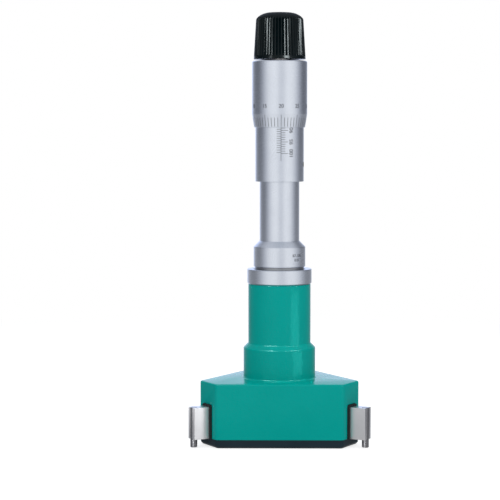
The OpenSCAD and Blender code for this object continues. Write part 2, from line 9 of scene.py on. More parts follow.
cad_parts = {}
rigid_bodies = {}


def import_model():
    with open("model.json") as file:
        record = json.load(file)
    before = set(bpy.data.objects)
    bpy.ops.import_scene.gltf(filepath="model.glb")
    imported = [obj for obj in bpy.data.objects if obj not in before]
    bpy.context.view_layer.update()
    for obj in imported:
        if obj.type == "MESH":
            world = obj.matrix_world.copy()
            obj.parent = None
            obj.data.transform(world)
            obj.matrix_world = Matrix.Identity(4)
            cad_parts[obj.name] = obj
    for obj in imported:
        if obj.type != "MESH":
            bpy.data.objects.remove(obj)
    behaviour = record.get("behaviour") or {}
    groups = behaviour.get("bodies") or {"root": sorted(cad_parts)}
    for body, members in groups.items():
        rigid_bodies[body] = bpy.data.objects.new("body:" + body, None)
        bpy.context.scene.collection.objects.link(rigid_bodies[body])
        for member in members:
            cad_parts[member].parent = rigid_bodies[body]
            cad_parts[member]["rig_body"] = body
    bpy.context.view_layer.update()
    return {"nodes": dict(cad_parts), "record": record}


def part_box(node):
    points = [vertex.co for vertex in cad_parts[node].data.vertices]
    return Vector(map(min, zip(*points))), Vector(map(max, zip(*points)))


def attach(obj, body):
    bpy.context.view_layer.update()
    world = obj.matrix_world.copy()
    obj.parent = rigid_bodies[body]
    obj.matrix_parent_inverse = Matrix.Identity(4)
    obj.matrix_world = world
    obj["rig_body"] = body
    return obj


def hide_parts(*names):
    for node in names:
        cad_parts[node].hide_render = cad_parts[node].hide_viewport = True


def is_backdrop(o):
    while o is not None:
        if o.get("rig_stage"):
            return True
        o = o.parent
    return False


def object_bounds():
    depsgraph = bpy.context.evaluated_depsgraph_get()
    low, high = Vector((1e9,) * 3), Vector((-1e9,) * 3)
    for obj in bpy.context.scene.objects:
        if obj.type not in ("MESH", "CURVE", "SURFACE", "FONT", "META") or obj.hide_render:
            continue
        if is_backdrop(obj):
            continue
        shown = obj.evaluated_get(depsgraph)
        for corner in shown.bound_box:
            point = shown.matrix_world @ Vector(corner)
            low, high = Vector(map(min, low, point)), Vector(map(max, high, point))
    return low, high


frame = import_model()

MM = 0.001
TURN = 2 * math.pi
NODES = frame["nodes"]

# Welding of the CAD meshes and easing of the turned outlines
WELD = 0.0005 * MM
FLAT_WITHIN = 0.012 * MM
SNAP_WITHIN = 0.12 * MM
ROUND_STEPS = 4
SPIN_STEPS = 256
EASE_SHARE = 0.3
HOLD_SHARE = 1.5
EASE_CHROME = 0.16 * MM
EASE_PAINT = 0.35 * MM
EASE_CAP = 0.12 * MM
DOME_BEND = math.radians(30)

# Paint fillet at the hub's foot
FILLET = 0.7 * MM
FILLET_STEPS = 8
FILLET_SHARP = math.radians(30)

# Milled pieces
FLAT_ANGLE = math.radians(0.5)
BEVEL_STEPS = 3

# Spanner hole
DRILL_SIDES = 48
DRILL_LENGTH = 6 * MM
DRILL_SHARP = math.radians(50)

# Masks of the finishes
MASK_LOW = 0.3
MASK_HIGH = 0.7
RING_SHARE = 0.5

# Clear turns, in degrees, that pass between the holes, slits and keyways of each turned piece
CUT_TURN = {"hub_tube": 97.3, "coupling_ring": 97.3, "barrel": 61.7, "sleeve": 97.3, "thimble": 97.3}

# Ratchet cap
FLUTES = 48
FLUTE_STEPS = 8
FLUTE_SHARP = math.radians(25)
FLUTE_DEPTH = 0.55 * MM
FLUTE_START = 1.2 * MM
FLUTE_OUTER_SHARE = 0.8
DOME_RISE = 2.9 * MM
DOME_BLEND = 0.5 * MM
DOME_MATT = 0.4
CAP_CUT_TURN = 41.3

# Sleeve scale: whole millimetres right of the datum line, halves left of it
SCALE_TURN = math.radians(3.0)
SCALE_LAST = 127.0 * MM
SCALE_STEP = 1.0 * MM
SCALE_MARKS = 14
SCALE_TOP_VALUE = 100
SCALE_LONG_EVERY = 5
SCALE_SHORT = 1.9 * MM
SCALE_LONG = 3.1 * MM
SCALE_HALF = 1.9 * MM
MARK_WIDTH = 0.17 * MM
MARK_DEPTH = 0.03 * MM
MARK_POINTS = 7
DATUM_FOOT = 123.7 * MM
DATUM_HEAD = 141.0 * MM
LABEL_SIZE = 2.5 * MM
LABEL_GAP = 0.75 * MM
LABEL_STRIP = 0.2 * MM
LABEL_HALF_SHARE = 0.36
LABEL_WEIGHT = 0.006

# Thimble divisions
DIVISIONS = 50
DIVISION_LONG_EVERY = 5
DIVISION_SHORT = 3.9 * MM
DIVISION_LONG = 5.1 * MM
DIVISION_AT_DATUM = 20
DIVISION_FOOT = 0.35 * MM
THIMBLE_LABEL_SIZE = 2.3 * MM
THIMBLE_LABEL_RISE = 3.4 * MM
THIMBLE_EDGE_BAND = 0.3 * MM
THIMBLE_WALL_BAND = 0.05 * MM

# Collar
COLLAR_TURN = math.radians(42)
COLLAR_LABEL_SIZE = 1.7 * MM
COLLAR_ROWS = [("87-100", 82.3 * MM), ("0.01", 80.4 * MM)]

# Studio, with its levels of light from the back, 0, to the front, 1
WORLD_FRONT = math.radians(8)
STUDIO_LEVELS = [(0.0, 1.16), (0.02, 0.94), (0.07, 0.38), (0.2, 0.18), (0.4, 0.16), (0.56, 0.42),
                 (0.70, 0.78), (0.82, 1.02), (0.95, 1.10), (0.98, 1.0), (1.0, 0.80)]
COOL_SHADE = (0.90, 0.97, 1.16)
BACK_WITHIN = 0.05
BACK_COOL = 1.6
WHITE = (1.0, 1.0, 1.0, 1.0)
OVERHEAD_FROM = 0.55
OVERHEAD_FULL = 0.9
OVERHEAD_LIGHT = WHITE
OVERHEAD_GLEAM = (0.68, 0.70, 0.74, 1.0)

# Floor
FLOOR_FRONT = math.radians(8)
FLOOR_WHITENING = 0.2
FLOOR_DROP = 0.02 * MM
FLOOR_SHADE_NEAR = 0.18
FLOOR_SHADE_FAR = 0.5
FLOOR_DARK = (0.52, 0.52, 0.52, 1.0)
FLOOR_LIGHT = (0.56, 0.56, 0.56, 1.0)
FLOOR_GRAIN = 40.0
FLOOR_GLOW = 0.72
FLOOR_RADIUS = 4.0
FLOOR_SIDES = 64
# The floor's glow to other rays than the camera's stands in for its bounce light: near the object it is a
# painted shade, rising to the far level further out
BOUNCE_NEAR = 0.08
BOUNCE_FAR = 0.3
PAINTED_SHADE_NEAR_LEVEL = 0.5
PAINTED_GLOW_FAR_LEVEL = 0.95

# Lamps that show only as reflections on some pieces
LIGHT_AIM = 50 * MM
HUB_PIECES = ("painted_hub", "paint_fillet")
GREEN_PIECES = (*HUB_PIECES, "painted_head")
PLAIN_GLEAM = (1.0, 1.0, 1.0)
PAINT_GLEAM = (0.12, 1.0, 0.92)
EDGE_GLEAM = (0.4, 1.0, 0.96)
CAP_GLEAM = (0.88, 0.98, 1.0)
# Name, turn in degrees to the right of the front, distance, height, size, power, pieces and colour
LAMPS = [
    ("left_softbox", -39, 0.39, 0.46, (0.45, 0.25), 1.5, GREEN_PIECES, PLAIN_GLEAM),
    ("right_softbox", 55, 0.39, 0.46, (0.45, 0.25), 1.5, GREEN_PIECES, PLAIN_GLEAM),
    ("hub_strip", 58, 0.18, 0.025, (0.10, 0.05), 0.16, HUB_PIECES, PAINT_GLEAM),
    ("left_edge_light", -39, 0.39, 0.46, (0.45, 0.25), 42, HUB_PIECES, EDGE_GLEAM),
    ("right_edge_light", 55, 0.39, 0.46, (0.45, 0.25), 42, HUB_PIECES, EDGE_GLEAM),
    ("anvil_strip", 64, 0.20, 0.02, (0.05, 0.04), 0.13, ("measuring_anvil_left",), PLAIN_GLEAM),
    ("anvil_end_light", -108, 0.20, 0.03, (0.16, 0.06), 0.07, ("measuring_anvil_left", "hard_pin_left"),
     PLAIN_GLEAM),
    ("pin_light", -20, 0.40, 0.02, (0.15, 0.10), 1.8, ("hard_pin_left", "hard_pin_right"), PLAIN_GLEAM),
    ("cap_strip", 30, 0.40, 0.25, (0.14, 0.10), 2.2, ("fluted_cap",), CAP_GLEAM),
    ("cap_side_strip", -40, 0.40, 0.25, (0.08, 0.10), 0.2, ("fluted_cap",), CAP_GLEAM),
]

# Camera and picture
PICTURE = 500
SENSOR = 36.0
FOCAL_PIXELS = 1712.4
CAMERA_AWAY = 755 * MM
CAMERA_ASIDE = -4.64 * MM
CAMERA_UP = 137 * MM
CAMERA_PITCH = math.radians(3.995)
CAMERA_YAW = math.radians(0.636)


def add(tree, kind, inputs=None, **settings):
    """A new node in a tree; inputs maps a socket to a value or to another node's output."""
    node = tree.nodes.new(kind)
    for key, value in settings.items():
        setattr(node, key, value)
    for key, value in (inputs or {}).items():
        if isinstance(value, bpy.types.NodeSocket):
            tree.links.new(value, node.inputs[key])
        else:
            node.inputs[key].default_value = value
    return node


def math_node(tree, operation, *values):
    """The output of a Math node on up to three values or sockets."""
    return add(tree, "ShaderNodeMath", dict(enumerate(values)), operation=operation).outputs[0]


def blend(tree, factor, first, second):
    """The colour between two colours or sockets by a factor."""
    inputs = {"Factor": factor, 6: first, 7: second}
    return add(tree, "ShaderNodeMix", inputs, data_type="RGBA").outputs[2]


def titled(values):
    """Values by the names of sockets: cloud_size becomes Cloud Size."""
    return {key.replace("_", " ").title(): value for key, value in values.items()}


def new_group(name, kind, inputs, outputs):
    """A node group with named sockets; gives its tree, its inputs' outlets and its output node's sockets."""
    tree = bpy.data.node_groups.new(name, kind)
    for label, socket_type, value in inputs:
        socket = tree.interface.new_socket(label, in_out="INPUT", socket_type=socket_type)
        if value is not None:
            socket.default_value = value
    for label, socket_type in outputs:
        tree.interface.new_socket(label, in_out="OUTPUT", socket_type=socket_type)
    return tree, add(tree, "NodeGroupInput").outputs, add(tree, "NodeGroupOutput").inputs


# Shader node groups

def make_mottle():
    """Soft clouding of a surface and its fine grain."""
    tree, given, result = new_group(
        "mottle", "ShaderNodeTree",
        [("Cloud Size", "NodeSocketFloat", 8 * MM), ("Grain Size", "NodeSocketFloat", 0.3 * MM)],
        [("Cloud", "NodeSocketFloat"), ("Grain", "NodeSocketFloat")])
    place = add(tree, "ShaderNodeTexCoord").outputs["Object"]
    for label, size, detail in (("Cloud", "Cloud Size", 3.0), ("Grain", "Grain Size", 1.0)):
        scale = math_node(tree, "DIVIDE", 1.0, given[size])
        noise = add(tree, "ShaderNodeTexNoise", {"Vector": place, "Scale": scale, "Detail": detail})
        tree.links.new(noise.outputs[0], result[label])
    return tree


def make_streaks():
    """Fine scratches drawn out along one direction."""
    tree, given, result = new_group(
        "streaks", "ShaderNodeTree",
        [("Stretch", "NodeSocketVector", (1.0, 1.0, 0.05)), ("Size", "NodeSocketFloat", 0.2 * MM)],
        [("Streak", "NodeSocketFloat")])
    place = add(tree, "ShaderNodeTexCoord").outputs["Object"]
    drawn = add(tree, "ShaderNodeVectorMath", {0: place, 1: given["Stretch"]}, operation="MULTIPLY")
    scale = math_node(tree, "DIVIDE", 1.0, given["Size"])
    noise = add(tree, "ShaderNodeTexNoise", {"Vector": drawn.outputs[0], "Scale": scale, "Detail": 4.0})
    tree.links.new(noise.outputs[0], result["Streak"])
    return tree


def make_turning_marks():
    """Fine rings left by a lathe, by distance from the spindle axis and height."""
    tree, given, result = new_group(
        "turning_marks", "ShaderNodeTree",
        [("Size", "NodeSocketFloat", 0.25 * MM)], [("Ring", "NodeSocketFloat")])
    place = add(tree, "ShaderNodeTexCoord").outputs["Object"]
    parts = add(tree, "ShaderNodeSeparateXYZ", {0: place}).outputs
    across = add(tree, "ShaderNodeCombineXYZ", {0: parts[0], 1: parts[1]})
    radius = add(tree, "ShaderNodeVectorMath", {0: across.outputs[0]}, operation="LENGTH").outputs["Value"]
    along = math_node(tree, "ADD", radius, parts[2])
    scale = math_node(tree, "DIVIDE", 1.0, given["Size"])
    noise = add(tree, "ShaderNodeTexNoise", {"W": along, "Scale": scale, "Detail": 2.0},
                noise_dimensions="1D")
    tree.links.new(noise.outputs[0], result["Ring"])
    return tree


MOTTLE = make_mottle()
STREAKS = make_streaks()
TURNING_MARKS = make_turning_marks()


# Materials

def new_finish(name):
    """An empty material; gives it, its tree and its principled shader."""
    finish = bpy.data.materials.new(name)
    finish.use_nodes = True
    finish.node_tree.nodes.clear()
    shader = add(finish.node_tree, "ShaderNodeBsdfPrincipled")
    add(finish.node_tree, "ShaderNodeOutputMaterial", {"Surface": shader.outputs[0]})
    return finish, finish.node_tree, shader


def place_group(tree, group, **inputs):
    """A shader group placed in a material with its own values."""
    return add(tree, "ShaderNodeGroup", titled(inputs), node_tree=group)


def tint(tree, shader, mask, dark, light):
    """Base colour between two shades by a mask."""
    tree.links.new(blend(tree, mask, (*dark, 1.0), (*light, 1.0)), shader.inputs["Base Color"])


def gloss(tree, shader, mask, low, high):
    """Roughness between two values by a mask; gives its socket."""
    spread = add(tree, "ShaderNodeMapRange", {"Value": mask, "From Min": MASK_LOW, "From Max": MASK_HIGH,
                                              "To Min": low, "To Max": high})
    tree.links.new(spread.outputs[0], shader.inputs["Roughness"])
    return spread.outputs[0]


def relief(tree, shader, height, depth):
    """A shallow bump from a height mask."""
    bump = add(tree, "ShaderNodeBump", {"Height": height, "Distance": depth, "Strength": 1.0})
    tree.links.new(bump.outputs[0], shader.inputs["Normal"])


def satin_chrome():
    """Chrome with a fine satin grain and faint lathe rings."""
    finish, tree, shader = new_finish("satin_chrome")
    mottle = place_group(tree, MOTTLE, cloud_size=6 * MM, grain_size=0.16 * MM)
    rings = place_group(tree, TURNING_MARKS, size=0.3 * MM)
    shader.inputs["Metallic"].default_value = 1.0
    tint(tree, shader, mottle.outputs["Cloud"], dark=(0.63, 0.668, 0.74), light=(0.69, 0.73, 0.80))
    gloss(tree, shader, mottle.outputs["Grain"], low=0.24, high=0.31)
    height = math_node(tree, "MULTIPLY_ADD", rings.outputs["Ring"], RING_SHARE, mottle.outputs["Grain"])
    relief(tree, shader, height, depth=0.004 * MM)
    return finish


def green_paint():
    """Glossy enamel with a soft orange peel."""
    finish, tree, shader = new_finish("green_paint")
    mottle = place_group(tree, MOTTLE, cloud_size=11 * MM, grain_size=2.0 * MM)
    tint(tree, shader, mottle.outputs["Cloud"], dark=(0.0, 0.372, 0.326), light=(0.001, 0.412, 0.366))
    gloss(tree, shader, mottle.outputs["Cloud"], low=0.12, high=0.18)
    relief(tree, shader, mottle.outputs["Grain"], depth=0.09 * MM)
    shader.inputs["IOR"].default_value = 1.14
    shader.inputs["Coat Weight"].default_value = 0.3
    shader.inputs["Coat IOR"].default_value = 1.14
    shader.inputs["Coat Roughness"].default_value = 0.08
    return finish


def ground_steel():
    """Bare steel with fine grinding streaks."""
    finish, tree, shader = new_finish("ground_steel")
    mottle = place_group(tree, MOTTLE, cloud_size=5 * MM, grain_size=0.2 * MM)
    streaks = place_group(tree, STREAKS, stretch=(1.0, 1.0, 0.04), size=0.18 * MM)
    shader.inputs["Metallic"].default_value = 1.0
    tint(tree, shader, mottle.outputs["Cloud"], dark=(0.70, 0.70, 0.72), light=(0.80, 0.80, 0.82))
    gloss(tree, shader, streaks.outputs["Streak"], low=0.28, high=0.36)
    relief(tree, shader, streaks.outputs["Streak"], depth=0.0025 * MM)
    return finish


def hard_metal():
    """Dark lapped hard metal."""
    finish, tree, shader = new_finish("hard_metal")
    mottle = place_group(tree, MOTTLE, cloud_size=2 * MM, grain_size=0.12 * MM)
    shader.inputs["Metallic"].default_value = 1.0
    tint(tree, shader, mottle.outputs["Cloud"], dark=(0.20, 0.202, 0.214), light=(0.265, 0.268, 0.284))
    gloss(tree, shader, mottle.outputs["Grain"], low=0.20, high=0.32)
    relief(tree, shader, mottle.outputs["Grain"], depth=0.003 * MM)
    return finish


def dark_plate():
    """Dark satin oxide."""
    finish, tree, shader = new_finish("dark_plate")
    mottle = place_group(tree, MOTTLE, cloud_size=7 * MM, grain_size=0.25 * MM)
    tint(tree, shader, mottle.outputs["Cloud"], dark=(0.009, 0.022, 0.031), light=(0.015, 0.034, 0.047))
    gloss(tree, shader, mottle.outputs["Cloud"], low=0.34, high=0.46)
    relief(tree, shader, mottle.outputs["Grain"], depth=0.01 * MM)
    shader.inputs["IOR"].default_value = 1.25
    return finish


def black_plastic():
    """Glossy on the flutes, matt on the dome."""
    finish, tree, shader = new_finish("black_plastic")
    mottle = place_group(tree, MOTTLE, cloud_size=5 * MM, grain_size=0.22 * MM)
    tint(tree, shader, mottle.outputs["Cloud"], dark=(0.0, 0.003, 0.004), light=(0.001, 0.006, 0.008))
    flute_gloss = gloss(tree, shader, mottle.outputs["Cloud"], low=0.16, high=0.24)
    place = add(tree, "ShaderNodeTexCoord").outputs["Object"]
    height = add(tree, "ShaderNodeSeparateXYZ", {0: place}).outputs[2]
    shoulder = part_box("ratchet_cap")[1].z - DOME_RISE
    dome = add(tree, "ShaderNodeMapRange",
               {"Value": height, "From Min": shoulder, "From Max": shoulder + DOME_BLEND})
    matt = math_node(tree, "MULTIPLY_ADD", dome.outputs[0], DOME_MATT, flute_gloss)
    tree.links.new(matt, shader.inputs["Roughness"])
    relief(tree, shader, mottle.outputs["Grain"], depth=0.002 * MM)
    shader.inputs["IOR"].default_value = 1.22
    return finish


def black_rubber():
    """Matt black rubber."""
    finish, tree, shader = new_finish("black_rubber")
    mottle = place_group(tree, MOTTLE, cloud_size=4 * MM, grain_size=0.3 * MM)
    tint(tree, shader, mottle.outputs["Cloud"], dark=(0.004, 0.008, 0.008), light=(0.010, 0.016, 0.016))
    gloss(tree, shader, mottle.outputs["Grain"], low=0.62, high=0.78)
    relief(tree, shader, mottle.outputs["Grain"], depth=0.02 * MM)
    return finish


def turned_metal(name, dark, light, low, high):
    """A plain turned metal for the inner pieces."""
    finish, tree, shader = new_finish(name)
    mottle = place_group(tree, MOTTLE, cloud_size=4 * MM, grain_size=0.2 * MM)
    rings = place_group(tree, TURNING_MARKS, size=0.2 * MM)
    shader.inputs["Metallic"].default_value = 1.0
    tint(tree, shader, mottle.outputs["Cloud"], dark, light)
    gloss(tree, shader, mottle.outputs["Grain"], low, high)
    relief(tree, shader, rings.outputs["Ring"], depth=0.008 * MM)
    return finish


def mark_paint():
    """The dark filling of marks and numbers."""
    finish, tree, shader = new_finish("mark_paint")
    mottle = place_group(tree, MOTTLE, cloud_size=0.8 * MM, grain_size=0.1 * MM)
    tint(tree, shader, mottle.outputs["Cloud"], dark=(0.030, 0.032, 0.038), light=(0.075, 0.078, 0.090))
    gloss(tree, shader, mottle.outputs["Grain"], low=0.6, high=0.8)
    shader.inputs["IOR"].default_value = 1.2
    return finish


FINISH = {
    "satin_chrome": satin_chrome(),
    "green_paint": green_paint(),
    "ground_steel": ground_steel(),
    "hard_metal": hard_metal(),
    "dark_plate": dark_plate(),
    "black_plastic": black_plastic(),
    "black_rubber": black_rubber(),
    "bronze": turned_metal("bronze", dark=(0.42, 0.25, 0.10), light=(0.52, 0.33, 0.14), low=0.28, high=0.40),
    "spring_steel": turned_metal("spring_steel", dark=(0.27, 0.28, 0.30), light=(0.38, 0.39, 0.41),
                                 low=0.26, high=0.38),
}
MARK_PAINT = mark_paint()

for part in frame["record"]["subparts"]:
    NODES[part["node"]].data.materials.clear()
    NODES[part["node"]].data.materials.append(FINISH[part["material_slot"]])
SLOT = {part["node"]: part["material_slot"] for part in frame["record"]["subparts"]}


# Pieces

def new_object(name, data):
    """A new object in the scene, for a mesh, a curve, a lamp or a camera."""
    obj = bpy.data.objects.new(name, data)
    bpy.context.scene.collection.objects.link(obj)
    return obj


def placed(name, mesh, body, slot, finish=None):
    """A finished mesh as a piece that rides on a body; a mesh that has its finishes already keeps them."""
    mesh.name = name
    if not mesh.materials:
        mesh.materials.append(finish or FINISH[slot])
    obj = new_object(name, mesh)
    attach(obj, body)
    return obj


def dressed(name, mesh, node):
    """A finished mesh that stands for a CAD node."""
    obj = placed(name, mesh, NODES[node]["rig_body"], SLOT[node])
    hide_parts(node)
    return obj


def settled(obj):
    """The plain mesh of an object with its modifiers worked in; the object is taken away."""
    bpy.context.view_layer.update()
    graph = bpy.context.evaluated_depsgraph_get()
    mesh = bpy.data.meshes.new_from_object(obj.evaluated_get(graph), depsgraph=graph)
    bpy.data.objects.remove(obj)
    return mesh


def merged(node):
    """A welded copy of a CAD node's mesh."""
    bm = bmesh.new()
    bm.from_mesh(NODES[node].data)
    bmesh.ops.remove_doubles(bm, verts=bm.verts, dist=WELD)
    return bm


def mesh_from(bm, smooth):
    """The mesh of a bmesh, which is freed."""
    mesh = bpy.data.meshes.new("made")
    for face in bm.faces:
        face.smooth = smooth
    bm.to_mesh(mesh)
    bm.free()
    return mesh


# Turned pieces

def chained(edges):
    """The longest row of vertices along a set of edges, and whether it is closed."""
    links = {}
    for edge in edges:
        for here, there in (edge.verts, reversed(edge.verts)):
            links.setdefault(here, []).append(there)
    rows = []
    while links:
        ends = [v for v, others in links.items() if len(others) == 1]
        row = [ends[0] if ends else next(iter(links))]
        while True:
            following = [v for v in links.pop(row[-1]) if v in links]
            if not following:
                break
            row.append(following[0])
        rows.append((row, not ends))
    return max(rows, key=lambda found: len(found[0]))


def off_line(point, start, end):
    """Distance of a point from the line through two others."""
    along = (end - start).normalized()
    return abs((point - start).cross(along))


def without_flat_points(outline):
    """The outline without the points that lie on the line between their neighbours, flattest first."""
    points = list(outline)
    while True:
        count = len(points)
        bends = []
        for i, point in enumerate(points):
            bend = off_line(point, points[i - 1], points[(i + 1) % count])
            bends.append(bend if point.x > 0 else SNAP_WITHIN)
        flattest = min(range(count), key=bends.__getitem__)
        if bends[flattest] > FLAT_WITHIN:
            return points
        points.pop(flattest)


def section(node, turn):
    """Corners (radius, height) of the outline where the half plane at a turn, in degrees, cuts a node."""
    angle = math.radians(turn)
    out = Vector((math.cos(angle), math.sin(angle), 0))
    across = Vector((-math.sin(angle), math.cos(angle), 0))
    bm = merged(node)
    true_points = [Vector((v.co.xy.length, v.co.z)) for v in bm.verts]
    everything = [*bm.verts, *bm.edges, *bm.faces]
    cut = bmesh.ops.bisect_plane(bm, geom=everything, dist=WELD, plane_co=(0, 0, 0), plane_no=across)
    edges = [e for e in cut["geom_cut"] if isinstance(e, bmesh.types.BMEdge)]
    row, closed = chained([e for e in edges if min(v.co.dot(out) for v in e.verts) > 0])
    outline = [Vector((v.co.dot(out), v.co.z)) for v in row]
    bm.free()
    if not closed:
        outline = [Vector((0, outline[0].y)), *outline, Vector((0, outline[-1].y))]
    corners = []
    for point in without_flat_points(outline):
        nearest = min(true_points, key=lambda true: (true - point).length)
        corners.append(nearest if 0 < (nearest - point).length < SNAP_WITHIN and point.x > 0 else point)
    return corners


def eased(outline, radius, curve=0.0):
    """The outline with rounded corners between close support points.

    Bends under the curve angle become smooth.
    """
    points = []
    for i, corner in enumerate(outline):
        if corner.x == 0:
            points.append(corner)
            continue
        arms = [outline[i - 1] - corner, outline[(i + 1) % len(outline)] - corner]
        shorter = min(arm.length for arm in arms)
        smooth = math.pi - arms[0].angle(arms[1]) < curve
        reach = 0.5 * shorter if smooth else min(radius, EASE_SHARE * shorter)
        ends = [corner + arm.normalized() * reach for arm in arms]
        holds = [corner + arm.normalized() * min(HOLD_SHARE * reach, 0.5 * shorter) for arm in arms]
        points.append(holds[0])
        for step in range(ROUND_STEPS + 1):
            t = step / ROUND_STEPS
            points.append((1 - t) ** 2 * ends[0] + 2 * t * (1 - t) * corner + t ** 2 * ends[1])
        points.append(holds[1])
    return points


def turned(outline, steps, shaped=None):
    """A closed mesh of an outline spun round the spindle axis.

    The function shaped, of radius, height and step, may set another radius.
    """
    bm = bmesh.new()
    rings = []
    for step in range(steps):
        angle = TURN * step / steps
        ring = []
        for radius, height in outline:
            here = shaped(radius, height, step) if shaped else radius
            ring.append(bm.verts.new((here * math.cos(angle), here * math.sin(angle), height)))
        rings.append(ring)
    for ring, following in zip(rings, rings[1:] + rings[:1]):
        for i in range(0 if outline[0].x > 0 else 1, len(outline)):
            bm.faces.new((ring[i - 1], following[i - 1], following[i], ring[i]))
    bmesh.ops.remove_doubles(bm, verts=bm.verts, dist=WELD)
    bmesh.ops.recalc_face_normals(bm, faces=bm.faces)
    return mesh_from(bm, True)


def turned_piece(name, node, ease):
    """A turned CAD node with eased edges."""
    outline = section(node, CUT_TURN[node])
    return dressed(name, turned(eased(outline, ease), SPIN_STEPS), node)


def clipped(outline, level, above):
    """The part of a closed outline above or below a level."""
    points = []
    for i, point in enumerate(outline):
        before = outline[i - 1]
        if (before.y > level) != (point.y > level):
            points.append(before.lerp(point, (level - before.y) / (point.y - before.y)))
        if (point.y > level) == above:
            points.append(point)
    return points


def painted_hub():
    """The hub, painted up to the ring, and its bare neck inside the ring."""
    ring_foot = min(point.y for point in section("coupling_ring", CUT_TURN["coupling_ring"]))
    outline = section("hub_tube", CUT_TURN["hub_tube"])
    neck = eased(clipped(outline, ring_foot + WELD, True), EASE_CHROME)
    placed("bare_neck", turned(neck, SPIN_STEPS), NODES["hub_tube"]["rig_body"], "spring_steel")
    painted = eased(clipped(outline, ring_foot + WELD, False), EASE_PAINT)
    return dressed("painted_hub", turned(painted, SPIN_STEPS), "hub_tube")


def paint_fillet():
    """Paint that fills the corner between the hub's foot and the head."""
    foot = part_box("head_body")[1].z
    wall = max(point.x for point in section("hub_tube", CUT_TURN["hub_tube"]))
    points = []
    for step in range(FILLET_STEPS + 1):
        angle = TURN / 4 * step / FILLET_STEPS
        out = wall + FILLET * (1 - math.cos(angle))
        points.append(Vector((out, foot + FILLET * (1 - math.sin(angle)))))
    for out, up in ((FILLET, -FILLET), (-FILLET, -FILLET), (-FILLET, FILLET)):
        points.append(Vector((wall + out, foot + up)))
    mesh = turned(points, SPIN_STEPS)
    mesh.set_sharp_from_angle(angle=FILLET_SHARP)
    return placed("paint_fillet", mesh, NODES["hub_tube"]["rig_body"], "green_paint")


painted_hub()
paint_fillet()
turned_piece("plated_ring", "coupling_ring", EASE_CHROME)
turned_piece("plated_barrel", "barrel", EASE_CHROME)
turned_piece("plated_thimble", "thimble", EASE_CHROME)


def plated_sleeve():
    """The graduated sleeve, with its spanner hole bored through the wall and the hole's wall painted dark as
    shade.
    """
    hole = next(m for m in frame["record"]["mounts"] if m["name"] == "spanner_hole")
    axis = Vector(hole["axis"])
    bm = bmesh.new()
    radius = hole["dims"]["r_mm"] * MM
    turn = axis.to_track_quat("Z", "Y").to_matrix().to_4x4()
    bmesh.ops.create_cone(bm, cap_ends=True, segments=DRILL_SIDES, radius1=radius, radius2=radius,
                          depth=DRILL_LENGTH, matrix=Matrix.Translation(Vector(hole["pos_m"])) @ turn)
    # The cutter's dark plate finish passes to the hole's wall: a painted shade in the bore
    drill = new_object("drill", mesh_from(bm, False))
    drill.data.materials.append(FINISH["dark_plate"])
    outline = section("sleeve", CUT_TURN["sleeve"])
    blank = new_object("blank", turned(eased(outline, EASE_CHROME), SPIN_STEPS))
    blank.data.materials.append(FINISH["satin_chrome"])
    bore = blank.modifiers.new("bore", "BOOLEAN")
    bore.object = drill
    bore.operation = "DIFFERENCE"
    bore.solver = "EXACT"
    bore.material_mode = "TRANSFER"
    mesh = settled(blank)
    bpy.data.objects.remove(drill)
    mesh.set_sharp_from_angle(angle=DRILL_SHARP)
    return dressed("plated_sleeve", mesh, "sleeve")


plated_sleeve()


def fluted_cap():
    """The ratchet cap with V flutes along its taper, from above the rim to the domed top."""
    outline = section("ratchet_cap", CAP_CUT_TURN)
    foot = min(point.y for point in outline)
    widest = max(range(len(outline)), key=lambda i: outline[i].x)
    low = outline[widest]
    high = max(outline[widest - 1], outline[(widest + 1) % len(outline)], key=lambda p: p.y)
    points = eased(outline, EASE_CAP, DOME_BEND)
    step_levels = (foot + FLUTE_START, foot + FLUTE_START + FLUTE_DEPTH)

    def taper(height):
        """The radius of the plain taper at a height."""
        return low.x + (high.x - low.x) * (height - low.y) / (high.y - low.y)

    def shaped(radius, height, step):
        """The radius at a step round the cap, with its flute cut in."""
        part = step % FLUTE_STEPS
        off_centre = min(part, FLUTE_STEPS - part) / FLUTE_STEPS * TURN * low.x / FLUTES
        depth = max(0.0, FLUTE_DEPTH - off_centre)
        started = min(1.0, max(0.0, (height - step_levels[0]) / FLUTE_DEPTH))
        return min(radius, taper(height) - depth * started)

    split = []
    for i, point in enumerate(points):
        before = points[i - 1]
        crossed = [h for h in step_levels if min(before.y, point.y) < h < max(before.y, point.y)]
        if min(before.x, point.x) > FLUTE_OUTER_SHARE * low.x:
            for height in sorted(crossed, reverse=before.y > point.y):
                split.append(before.lerp(point, (height - before.y) / (point.y - before.y)))
        split.append(point)
    mesh = turned(split, FLUTES * FLUTE_STEPS, shaped)
    mesh.set_sharp_from_angle(angle=FLUTE_SHARP)
    return dressed("fluted_cap", mesh, "ratchet_cap")


fluted_cap()


# Milled pieces

def milled_piece(name, node, width, sharp_over):
    """A CAD node's form with its edges broken by a fine bevel."""
    bm = merged(node)
    bmesh.ops.dissolve_limit(bm, angle_limit=FLAT_ANGLE, verts=bm.verts, edges=bm.edges)
    obj = new_object(name + "_blank", mesh_from(bm, True))
    obj.data.set_sharp_from_angle(angle=math.radians(sharp_over))
    bevel = obj.modifiers.new("broken_edges", "BEVEL")
    bevel.width = width
    bevel.segments = BEVEL_STEPS
    bevel.limit_method = "ANGLE"
    bevel.angle_limit = math.radians(sharp_over)
    bevel.use_clamp_overlap = False
    bevel.harden_normals = True
    return dressed(name, settled(obj), node)


milled_piece("painted_head", "head_body", width=0.25 * MM, sharp_over=40)
milled_piece("oxide_plate", "base_plate", width=0.2 * MM, sharp_over=30)
for side in ("left", "right", "rear"):
    milled_piece("measuring_anvil_" + side, "anvil_" + side, width=0.15 * MM, sharp_over=30)
    milled_piece("hard_pin_" + side, "contact_pin_" + side, width=0.2 * MM, sharp_over=40)
    milled_piece("wiper_frame_" + side, "anvil_seal_" + side, width=0.1 * MM, sharp_over=30)


# Geometry node trees for the marks

